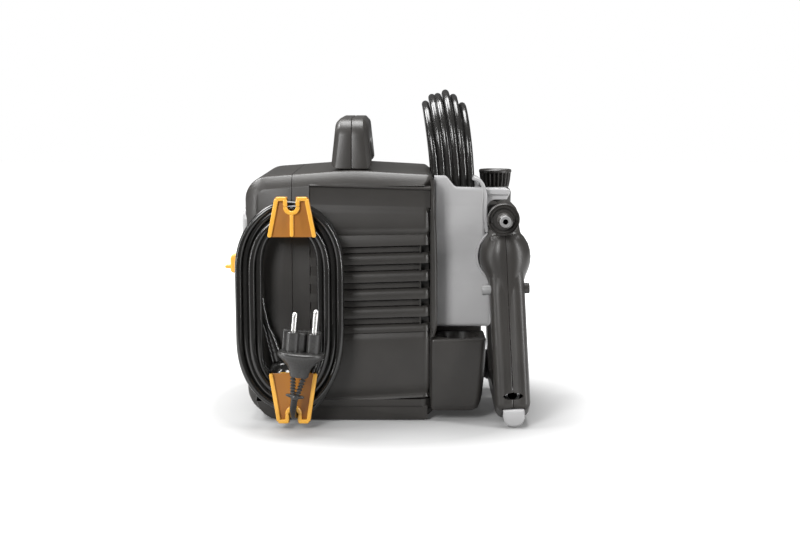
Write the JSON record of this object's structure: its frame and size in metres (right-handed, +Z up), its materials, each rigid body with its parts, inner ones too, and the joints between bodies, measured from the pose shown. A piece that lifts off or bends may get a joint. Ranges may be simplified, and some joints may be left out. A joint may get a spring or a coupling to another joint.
{
  "type": "electric pressure washer",
  "caption": "Compact carry-handle electric pressure washer with cord hooks, louvred housing, rear hose holder, clipped trigger gun and lance, and coiled hose and mains cord.",
  "frame": {"origin": "centre of the footprint on the floor, measured without the mains cord, plug and hose", "axes": "+X from the switch panel towards the gun and hose holder, +Y away from the cord hooks, +Z up"},
  "size_m": [0.3021, 0.263, 0.315],
  "materials": {
    "dark_plastic": "fine grain, satin",
    "light_grey_plastic": "fine grain, satin",
    "orange_plastic": "semi-gloss",
    "black_pvc": "gloss",
    "hose_rubber": "satin",
    "black_rubber": "matte",
    "steel": "machined",
    "brass": "machined",
    "copper_winding": "varnished wire",
    "aluminium": "cast",
    "bright_pin": "polished"
  },
  "bodies": {
    "housing": {"front_shell": "dark_plastic", "rear_shell": "dark_plastic", "handle_front_half": "dark_plastic", "handle_rear_half": "dark_plastic", "lance_pocket": "dark_plastic", "cable_gland": "dark_plastic", "switch_body": "dark_plastic", "plug_strain_relief": "dark_plastic", "plug_body": "dark_plastic", "inlet_nipple": "dark_plastic", "pressure_switch": "dark_plastic", "front_panel": "light_grey_plastic", "accessory_holder": "light_grey_plastic", "inlet_ring": "light_grey_plastic", "cord_hook_upper": "orange_plastic", "cord_hook_lower": "orange_plastic", "mains_cord_lead": "black_pvc", "mains_cord_hank": "black_pvc", "mains_cord_tail": "black_pvc", "hose_lead": "hose_rubber", "hose_coil": "hose_rubber", "foot_1": "black_rubber", "foot_2": "black_rubber", "foot_3": "black_rubber", "foot_4": "black_rubber", "piston_spring_1": "steel", "piston_spring_2": "steel", "piston_spring_3": "steel", "shell_screw_1": "steel", "shell_screw_2": "steel", "inlet_filter": "steel", "pump_head": "brass", "hose_outlet": "brass", "hose_end_fitting": "brass", "motor_stator": "copper_winding", "pump_block": "aluminium", "capacitor": "aluminium", "plug_pin_left": "bright_pin", "plug_pin_right": "bright_pin"},
    "knob": {"switch_knob": "orange_plastic"},
    "rotor": {"motor_rotor": "steel", "motor_shaft": "steel", "cooling_fan": "dark_plastic", "wobble_plate": "steel"},
    "piston_a": {"piston_1": "steel"},
    "piston_b": {"piston_2": "steel"},
    "piston_c": {"piston_3": "steel"},
    "gun": {"gun_left_shell": "dark_plastic", "gun_right_shell": "dark_plastic", "gun_connector": "dark_plastic", "gun_valve_body": "brass", "gun_valve_pin": "steel", "gun_feed_pipe": "steel", "gun_hose_port": "brass"},
    "trigger": {"gun_trigger": "light_grey_plastic"},
    "lock_pin": {"gun_lock_pin": "dark_plastic"},
    "release_tab": {"hose_release_tab": "light_grey_plastic"},
    "lance": {"lance_tube": "dark_plastic"},
    "spray_ring": {"nozzle_ring": "dark_plastic"},
    "inlet_coupling": {"inlet_collar": "dark_plastic"}
  },
  "joints": [
    {"name": "switch_turn", "type": "hinge", "parent": "housing", "child": "knob", "pos_m": [-0.121, 0.02, 0.139], "axis": [-1, 0, 0], "range_deg": [0, 90]},
    {"name": "motor_spin", "type": "hinge", "parent": "housing", "child": "rotor", "pos_m": [0, 0.0175, 0.15], "axis": [0, 0, 1], "continuous": true},
    {"name": "piston_a_stroke", "type": "slide", "parent": "housing", "child": "piston_a", "axis": [0, 0, -1], "range_m": [0, 0.003], "stiffness_N_per_m": 2000, "springref_m": -0.001, "deforming": ["piston_spring_1"]},
    {"name": "piston_b_stroke", "type": "slide", "parent": "housing", "child": "piston_b", "axis": [0, 0, -1], "range_m": [0, 0.003], "stiffness_N_per_m": 2000, "springref_m": -0.001, "deforming": ["piston_spring_2"]},
    {"name": "piston_c_stroke", "type": "slide", "parent": "housing", "child": "piston_c", "axis": [0, 0, -1], "range_m": [0, 0.003], "stiffness_N_per_m": 2000, "springref_m": -0.001, "deforming": ["piston_spring_3"]},
    {"name": "gun_unclip", "type": "slide", "parent": "housing", "child": "gun", "axis": [1, 0, 0], "range_m": [0, 0.12]},
    {"name": "trigger_pull", "type": "hinge", "parent": "gun", "child": "trigger", "pos_m": [0.12541, -0.03, 0.17201], "axis": [0.999, 0, 0.0436], "range_deg": [0, 8], "stiffness_Nm_per_rad": 0.4, "springref_deg": -8.59},
    {"name": "lock_pin_slide", "type": "slide", "parent": "gun", "child": "lock_pin", "axis": [0.999, 0, 0.0436], "range_m": [0, 0.004]},
    {"name": "release_tab_press", "type": "slide", "parent": "gun", "child": "release_tab", "axis": [0, 1, 0], "range_m": [0, 0.003], "stiffness_N_per_m": 400, "springref_m": -0.001},
    {"name": "lance_lift", "type": "slide", "parent": "housing", "child": "lance", "axis": [0, 0, 1], "range_m": [0, 0.16]},
    {"name": "spray_turn", "type": "hinge", "parent": "lance", "child": "spray_ring", "pos_m": [0.1245, 0.058, 0.2133], "axis": [0, 0, 1], "range_deg": [0, 90]},
    {"name": "inlet_swivel", "type": "hinge", "parent": "housing", "child": "inlet_coupling", "pos_m": [0.0883, 0.052, 0.028], "axis": [1, 0, 0], "continuous": true}
  ]
}
